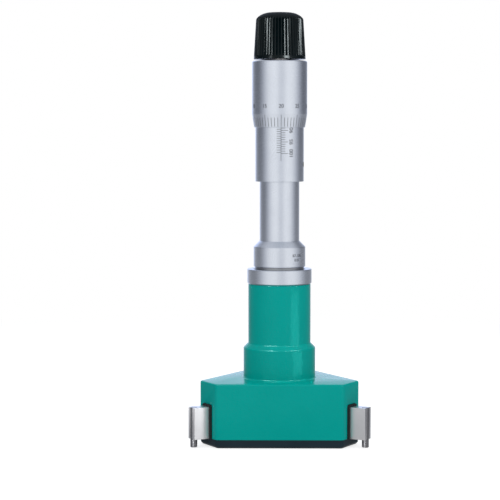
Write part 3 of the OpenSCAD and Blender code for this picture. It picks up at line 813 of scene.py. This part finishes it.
def make_wrap():
    """Wraps marks drawn flat, x along the round and y outwards, on a cylinder or a cone."""
    tree, given, result = new_group(
        "wrap_round", "GeometryNodeTree",
        [("Geometry", "NodeSocketGeometry", None), ("Radius", "NodeSocketFloat", 0.01),
         ("Foot", "NodeSocketFloat", 0.0), ("Lean", "NodeSocketFloat", 0.0),
         ("Turn", "NodeSocketFloat", 0.0)],
        [("Geometry", "NodeSocketGeometry")])
    flat = add(tree, "GeometryNodeInputPosition").outputs[0]
    parts = add(tree, "ShaderNodeSeparateXYZ", {0: flat}).outputs
    angle = math_node(tree, "ADD", math_node(tree, "DIVIDE", parts[0], given["Radius"]), given["Turn"])
    rise = math_node(tree, "SUBTRACT", parts[2], given["Foot"])
    ground = math_node(tree, "MULTIPLY_ADD", rise, given["Lean"], given["Radius"])
    out = math_node(tree, "ADD", ground, parts[1])
    x = math_node(tree, "MULTIPLY", out, math_node(tree, "SINE", angle))
    back = math_node(tree, "MULTIPLY", out, math_node(tree, "COSINE", angle))
    y = math_node(tree, "MULTIPLY", back, -1.0)
    place = add(tree, "ShaderNodeCombineXYZ", {0: x, 1: y, 2: parts[2]}).outputs[0]
    moved = add(tree, "GeometryNodeSetPosition", {"Geometry": given["Geometry"], "Position": place})
    tree.links.new(moved.outputs[0], result["Geometry"])
    return tree


WRAP = make_wrap()

MARK_SIZES = [
    ("Count", "NodeSocketInt", 10), ("Long Every", "NodeSocketInt", 5), ("Short", "NodeSocketFloat", 1 * MM),
    ("Long", "NodeSocketFloat", 2 * MM), ("Width", "NodeSocketFloat", 0.1 * MM),
    ("Depth", "NodeSocketFloat", 0.02 * MM), ("Radius", "NodeSocketFloat", 0.01),
    ("Turn", "NodeSocketFloat", 0.0), ("Foot", "NodeSocketFloat", 0.0),
    ("Material", "NodeSocketMaterial", None),
]


def begin_marks(name, sizes):
    """A mark tree's start; gives its tree, sizes and output, and each mark's length by its number."""
    tree, given, result = new_group(name, "GeometryNodeTree", sizes, [("Geometry", "NodeSocketGeometry")])
    number = add(tree, "GeometryNodeInputIndex").outputs[0]
    place = math_node(tree, "MODULO", number, given["Long Every"])
    is_long = math_node(tree, "LESS_THAN", place, 0.5)
    extra = math_node(tree, "SUBTRACT", given["Long"], given["Short"])
    length = math_node(tree, "MULTIPLY_ADD", is_long, extra, given["Short"])
    return tree, given, result, length


def end_marks(tree, given, result, points, shift, size, lean):
    """Sets a block on every point, wraps the row round the axis and paints it."""
    moved = add(tree, "GeometryNodeSetPosition", {"Geometry": points, "Offset": shift})
    block = add(tree, "GeometryNodeMeshCube", {"Size": (1.0, 1.0, 1.0), "Vertices X": MARK_POINTS})
    row = add(tree, "GeometryNodeInstanceOnPoints",
              {"Points": moved.outputs[0], "Instance": block.outputs[0], "Scale": size})
    real = add(tree, "GeometryNodeRealizeInstances", {0: row.outputs[0]})
    bent = add(tree, "GeometryNodeGroup", node_tree=WRAP)
    tree.links.new(real.outputs[0], bent.inputs["Geometry"])
    for label in ("Radius", "Foot", "Turn"):
        tree.links.new(given[label], bent.inputs[label])
    if lean is not None:
        tree.links.new(lean, bent.inputs["Lean"])
    painted = add(tree, "GeometryNodeSetMaterial",
                  {"Geometry": bent.outputs[0], "Material": given["Material"]})
    tree.links.new(painted.outputs[0], result["Geometry"])
    return tree


def make_graduations():
    """Marks across the axis, one above another, to one side of a line."""
    sizes = MARK_SIZES + [("Step", "NodeSocketFloat", SCALE_STEP), ("Side", "NodeSocketFloat", 1.0)]
    tree, given, result, length = begin_marks("graduations", sizes)
    start = add(tree, "ShaderNodeCombineXYZ", {2: given["Foot"]}).outputs[0]
    step = add(tree, "ShaderNodeCombineXYZ", {2: given["Step"]}).outputs[0]
    row = add(tree, "GeometryNodeMeshLine",
              {"Count": given["Count"], "Start Location": start, "Offset": step})
    half = math_node(tree, "MULTIPLY", math_node(tree, "MULTIPLY", length, 0.5), given["Side"])
    shift = add(tree, "ShaderNodeCombineXYZ", {0: half}).outputs[0]
    size = add(tree, "ShaderNodeCombineXYZ", {0: length, 1: given["Depth"], 2: given["Width"]}).outputs[0]
    return end_marks(tree, given, result, row.outputs[0], shift, size, None)


def make_divisions():
    """Marks up a bevelled edge, all round the axis."""
    sizes = MARK_SIZES + [("Lean", "NodeSocketFloat", 0.0)]
    tree, given, result, length = begin_marks("divisions", sizes)
    around = math_node(tree, "MULTIPLY", given["Radius"], TURN)
    start = add(tree, "ShaderNodeCombineXYZ", {2: given["Foot"]}).outputs[0]
    apart = math_node(tree, "DIVIDE", around, given["Count"])
    step = add(tree, "ShaderNodeCombineXYZ", {0: apart}).outputs[0]
    row = add(tree, "GeometryNodeMeshLine",
              {"Count": given["Count"], "Start Location": start, "Offset": step})
    shift = add(tree, "ShaderNodeCombineXYZ", {2: math_node(tree, "MULTIPLY", length, 0.5)}).outputs[0]
    size = add(tree, "ShaderNodeCombineXYZ", {0: given["Width"], 1: given["Depth"], 2: length}).outputs[0]
    return end_marks(tree, given, result, row.outputs[0], shift, size, given["Lean"])


def grown(tree, **sizes):
    """The plain mesh that a geometry tree gives for its sizes."""
    obj = new_object("growing", bpy.data.meshes.new("growing"))
    modifier = obj.modifiers.new("grow", "NODES")
    modifier.node_group = tree
    named = titled(sizes)
    for item in tree.interface.items_tree:
        if item.in_out == "INPUT" and item.name in named:
            modifier[item.identifier] = named[item.name]
    return settled(obj)


def joined(name, meshes, body, slot, finish):
    """Several meshes as one piece."""
    bm = bmesh.new()
    for mesh in meshes:
        bm.from_mesh(mesh)
        bpy.data.meshes.remove(mesh)
    return placed(name, mesh_from(bm, False), body, slot, finish)


GRADUATION_TREE = make_graduations()
DIVISION_TREE = make_divisions()


def sleeve_scale():
    """Datum line, whole and half millimetre marks of the sleeve."""
    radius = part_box("sleeve")[1].x
    shared = dict(radius=radius, turn=SCALE_TURN, depth=MARK_DEPTH, step=SCALE_STEP, material=MARK_PAINT)
    whole = grown(GRADUATION_TREE, count=SCALE_MARKS, long_every=SCALE_LONG_EVERY, short=SCALE_SHORT,
                  long=SCALE_LONG, width=MARK_WIDTH, foot=SCALE_LAST, side=1.0, **shared)
    halves = grown(GRADUATION_TREE, count=SCALE_MARKS - 1, long_every=SCALE_LONG_EVERY, short=SCALE_HALF,
                   long=SCALE_HALF, width=MARK_WIDTH, foot=SCALE_LAST + SCALE_STEP / 2, side=-1.0, **shared)
    datum = grown(GRADUATION_TREE, count=1, long_every=1, short=MARK_WIDTH, long=MARK_WIDTH,
                  width=DATUM_HEAD - DATUM_FOOT, foot=(DATUM_HEAD + DATUM_FOOT) / 2, side=0.0, **shared)
    return joined("sleeve_graduations", [whole, halves, datum], "sleeve", "satin_chrome", MARK_PAINT)


sleeve_scale()


def thimble_bevel():
    """The thimble's lower edge and the top of its bevel, as (radius, height)."""
    outline = section("thimble", CUT_TURN["thimble"])
    foot = min(point.y for point in outline)
    edge = max((p for p in outline if p.y < foot + THIMBLE_EDGE_BAND), key=lambda p: p.x)
    widest = max(point.x for point in outline)
    top = min((p for p in outline if p.x > widest - THIMBLE_WALL_BAND), key=lambda p: p.y)
    return edge, top


BEVEL_EDGE, BEVEL_TOP = thimble_bevel()
BEVEL_LEAN = (BEVEL_TOP.x - BEVEL_EDGE.x) / (BEVEL_TOP.y - BEVEL_EDGE.y)
ZERO_TURN = SCALE_TURN - TURN * DIVISION_AT_DATUM / DIVISIONS


def thimble_divisions():
    """Fifty marks on the thimble's bevelled edge."""
    foot = BEVEL_EDGE.y + DIVISION_FOOT
    marks = grown(DIVISION_TREE, count=DIVISIONS, long_every=DIVISION_LONG_EVERY, short=DIVISION_SHORT,
                  long=DIVISION_LONG, width=MARK_WIDTH, depth=MARK_DEPTH, lean=BEVEL_LEAN,
                  radius=BEVEL_EDGE.x + DIVISION_FOOT * BEVEL_LEAN, turn=ZERO_TURN, foot=foot,
                  material=MARK_PAINT)
    return joined("thimble_divisions_marks", [marks], "thimble", "satin_chrome", MARK_PAINT)


thimble_divisions()


# Numbers

def lettered(text, size, spin):
    """A flat mesh of a number, centred, x along the round and z up, spun about its middle."""
    curve = bpy.data.curves.new("number", "FONT")
    curve.body = text
    curve.size = size
    curve.align_x = "CENTER"
    curve.align_y = "CENTER"
    curve.extrude = MARK_DEPTH / 2
    curve.offset = LABEL_WEIGHT * size
    mesh = settled(new_object("number", curve))
    mesh.transform(Matrix.Rotation(math.radians(90), 4, "X") @ Matrix.Rotation(spin, 4, "Z"))
    return mesh


def wrapped(mesh, radius, turn, height, lean=0.0):
    """A flat number cut into narrow strips and set on a cylinder or cone at a turn and a height."""
    bm = bmesh.new()
    bm.from_mesh(mesh)
    reach = max(abs(vertex.co.x) for vertex in bm.verts)
    for strip in range(math.ceil(-reach / LABEL_STRIP), math.ceil(reach / LABEL_STRIP)):
        everything = bm.verts[:] + bm.edges[:] + bm.faces[:]
        bmesh.ops.bisect_plane(bm, geom=everything, plane_co=(strip * LABEL_STRIP, 0, 0), plane_no=(1, 0, 0))
    bm.to_mesh(mesh)
    bm.free()
    for vertex in mesh.vertices:
        angle = turn + vertex.co.x / radius
        out = radius - vertex.co.y + vertex.co.z * lean
        vertex.co = (out * math.sin(angle), -out * math.cos(angle), height + vertex.co.z)
    return mesh


def sleeve_numbers():
    """The values at the sleeve's long marks, read up the axis."""
    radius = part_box("sleeve")[1].x
    turn = SCALE_TURN + (SCALE_LONG + LABEL_GAP + LABEL_SIZE * LABEL_HALF_SHARE) / radius
    meshes = []
    for mark in range(0, SCALE_MARKS, SCALE_LONG_EVERY):
        mesh = lettered(str(SCALE_TOP_VALUE - mark), LABEL_SIZE, math.radians(90))
        meshes.append(wrapped(mesh, radius, turn, SCALE_LAST + mark * SCALE_STEP))
    return joined("sleeve_numbers", meshes, "sleeve", "satin_chrome", MARK_PAINT)


def thimble_numbers():
    """The values at the thimble's long marks."""
    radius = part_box("thimble")[1].x
    meshes = []
    for value in range(0, DIVISIONS, DIVISION_LONG_EVERY):
        mesh = lettered(str(value), THIMBLE_LABEL_SIZE, 0.0)
        turn = ZERO_TURN + TURN * value / DIVISIONS
        meshes.append(wrapped(mesh, radius, turn, BEVEL_TOP.y + THIMBLE_LABEL_RISE))
    return joined("thimble_numbers", meshes, "thimble", "satin_chrome", MARK_PAINT)


def collar_numbers():
    """The measuring range and the smallest step, in two short rows on the barrel's collar."""
    radius = max(point.x for point in section("barrel", CUT_TURN["barrel"]))
    meshes = []
    for text, height in COLLAR_ROWS:
        mesh = lettered(text, COLLAR_LABEL_SIZE, 0.0)
        meshes.append(wrapped(mesh, radius, COLLAR_TURN, height))
    return joined("collar_numbers", meshes, "head", "satin_chrome", MARK_PAINT)


sleeve_numbers()
thimble_numbers()
collar_numbers()


# Studio

def make_surroundings():
    """How bright the studio is in a direction: a bright front, dark sides and a cool bright back."""
    tree, given, result = new_group(
        "surroundings", "ShaderNodeTree",
        [("Look", "NodeSocketVector", None), ("Front", "NodeSocketVector", None)],
        [("Light", "NodeSocketColor")])
    level = add(tree, "ShaderNodeVectorMath", {0: given["Look"], 1: (1.0, 1.0, 0.0)}, operation="MULTIPLY")
    about = add(tree, "ShaderNodeVectorMath", {0: level.outputs[0]}, operation="NORMALIZE").outputs[0]
    toward = add(tree, "ShaderNodeVectorMath", {0: about, 1: given["Front"]}, operation="DOT_PRODUCT")
    facing = math_node(tree, "MULTIPLY_ADD", toward.outputs["Value"], 0.5, 0.5)
    ramp = add(tree, "ShaderNodeValToRGB", {0: facing})
    elements = ramp.color_ramp.elements
    while len(elements) < len(STUDIO_LEVELS):
        elements.new(0.5)
    for element, (place, light) in zip(elements, STUDIO_LEVELS):
        element.position = place
        cool = BACK_COOL if place < BACK_WITHIN else max(0.0, 1.0 - light)
        element.color = (*(light * (1.0 + cool * (shade - 1.0)) for shade in COOL_SHADE), 1.0)
    tree.links.new(ramp.outputs[0], result["Light"])
    return tree


def seen_around(tree, look, turn):
    """The surroundings' light in a material or world, with its front at a turn to the right."""
    front = (math.sin(turn), -math.cos(turn), 0.0)
    return add(tree, "ShaderNodeGroup", {"Look": look, "Front": front}, node_tree=SURROUNDINGS).outputs[0]


def studio_world():
    """White to the camera; to the object the surroundings and a soft light overhead."""
    world = bpy.data.worlds.new("studio")
    world.use_nodes = True
    bpy.context.scene.world = world
    tree = world.node_tree
    tree.nodes.clear()
    look = add(tree, "ShaderNodeTexCoord").outputs["Generated"]
    height = add(tree, "ShaderNodeSeparateXYZ", {0: look}).outputs[2]
    overhead = add(tree, "ShaderNodeMapRange",
                   {"Value": height, "From Min": OVERHEAD_FROM, "From Max": OVERHEAD_FULL},
                   interpolation_type="SMOOTHSTEP").outputs[0]
    rays = add(tree, "ShaderNodeLightPath").outputs
    above = blend(tree, rays["Is Glossy Ray"], OVERHEAD_LIGHT, OVERHEAD_GLEAM)
    lit = blend(tree, overhead, seen_around(tree, look, WORLD_FRONT), above)
    shown = blend(tree, rays["Is Camera Ray"], lit, WHITE)
    background = add(tree, "ShaderNodeBackground", {"Color": shown, "Strength": 1.0})
    add(tree, "ShaderNodeOutputWorld", {"Surface": background.outputs[0]})


def pale_floor():
    """A pale floor that keeps the object's shadow, glows to other rays with a painted shade near the object,
    and can't be seen from below.
    """
    finish = bpy.data.materials.new("pale_floor")
    finish.use_nodes = True
    tree = finish.node_tree
    tree.nodes.clear()
    place = add(tree, "ShaderNodeTexCoord").outputs["Object"]
    grain = add(tree, "ShaderNodeTexNoise", {"Vector": place, "Scale": FLOOR_GRAIN, "Detail": 2.0})
    tone = blend(tree, grain.outputs[0], FLOOR_DARK, FLOOR_LIGHT)
    paper = add(tree, "ShaderNodeBsdfDiffuse", {"Color": tone})
    glow = add(tree, "ShaderNodeEmission", {"Color": WHITE, "Strength": FLOOR_GLOW})
    both = add(tree, "ShaderNodeAddShader", {0: paper.outputs[0], 1: glow.outputs[0]})
    white = add(tree, "ShaderNodeEmission", {"Color": WHITE, "Strength": 1.0})
    away = add(tree, "ShaderNodeVectorMath", {0: place}, operation="LENGTH").outputs["Value"]
    far = add(tree, "ShaderNodeMapRange", {"Value": away, "From Min": FLOOR_SHADE_NEAR,
                                           "From Max": FLOOR_SHADE_FAR}, interpolation_type="SMOOTHSTEP")
    seen = add(tree, "ShaderNodeMixShader", {0: far.outputs[0], 1: both.outputs[0], 2: white.outputs[0]})
    # Painted shade: the floor's glow to other rays is darker near the object
    shade = add(tree, "ShaderNodeMapRange", {"Value": away, "From Min": BOUNCE_NEAR, "From Max": BOUNCE_FAR,
                                             "To Min": PAINTED_SHADE_NEAR_LEVEL, "To Max": PAINTED_GLOW_FAR_LEVEL})
    # The glow takes the studio's light by the floor point's direction from the object
    pale = blend(tree, FLOOR_WHITENING, seen_around(tree, place, FLOOR_FRONT), WHITE)
    painted_bounce_glow = add(tree, "ShaderNodeEmission", {"Color": pale, "Strength": shade.outputs[0]})
    camera_ray = add(tree, "ShaderNodeLightPath").outputs["Is Camera Ray"]
    whole = add(tree, "ShaderNodeMixShader", {0: camera_ray, 1: painted_bounce_glow.outputs[0], 2: seen.outputs[0]})
    below = add(tree, "ShaderNodeNewGeometry").outputs["Backfacing"]
    clear = add(tree, "ShaderNodeBsdfTransparent")
    sided = add(tree, "ShaderNodeMixShader", {0: below, 1: whole.outputs[0], 2: clear.outputs[0]})
    add(tree, "ShaderNodeOutputMaterial", {"Surface": sided.outputs[0]})
    bm = bmesh.new()
    bmesh.ops.create_circle(bm, cap_ends=True, segments=FLOOR_SIDES, radius=FLOOR_RADIUS)
    floor = new_object("pale_floor", mesh_from(bm, False))
    floor.data.materials.append(finish)
    floor.location.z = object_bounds()[0].z - FLOOR_DROP
    floor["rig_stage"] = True


def reflected_lamp(name, turn, away, up, size, power, pieces, colour):
    """A lamp that some pieces reflect, at a turn to the right of the front, a distance and a height."""
    turn = math.radians(turn)
    place = Vector((math.sin(turn) * away, -math.cos(turn) * away, up))
    lamp = bpy.data.lights.new(name, "AREA")
    lamp.shape = "RECTANGLE"
    lamp.size, lamp.size_y = size
    lamp.energy = power
    lamp.color = colour
    obj = new_object(name, lamp)
    obj.location = place
    aim = Vector((0, 0, min(up, LIGHT_AIM)))
    obj.rotation_euler = (aim - place).to_track_quat("-Z", "Y").to_euler()
    obj.visible_diffuse = False
    lit = bpy.data.collections.new(name + "_pieces")
    for piece in pieces:
        lit.objects.link(bpy.data.objects[piece])
    obj.light_linking.receiver_collection = lit


def photo_camera():
    """A camera at the photograph's height, distance and angle."""
    camera = bpy.data.cameras.new("photo_camera")
    camera.sensor_width = SENSOR
    camera.lens = FOCAL_PIXELS / PICTURE * SENSOR
    obj = new_object("photo_camera", camera)
    obj.location = (CAMERA_ASIDE, -CAMERA_AWAY, CAMERA_UP)
    obj.rotation_euler = (math.radians(90) - CAMERA_PITCH, 0, CAMERA_YAW)
    bpy.context.scene.camera = obj


SURROUNDINGS = make_surroundings()
studio_world()
pale_floor()
for lamp in LAMPS:
    reflected_lamp(*lamp)
photo_camera()
bpy.context.scene.view_settings.view_transform = "Standard"
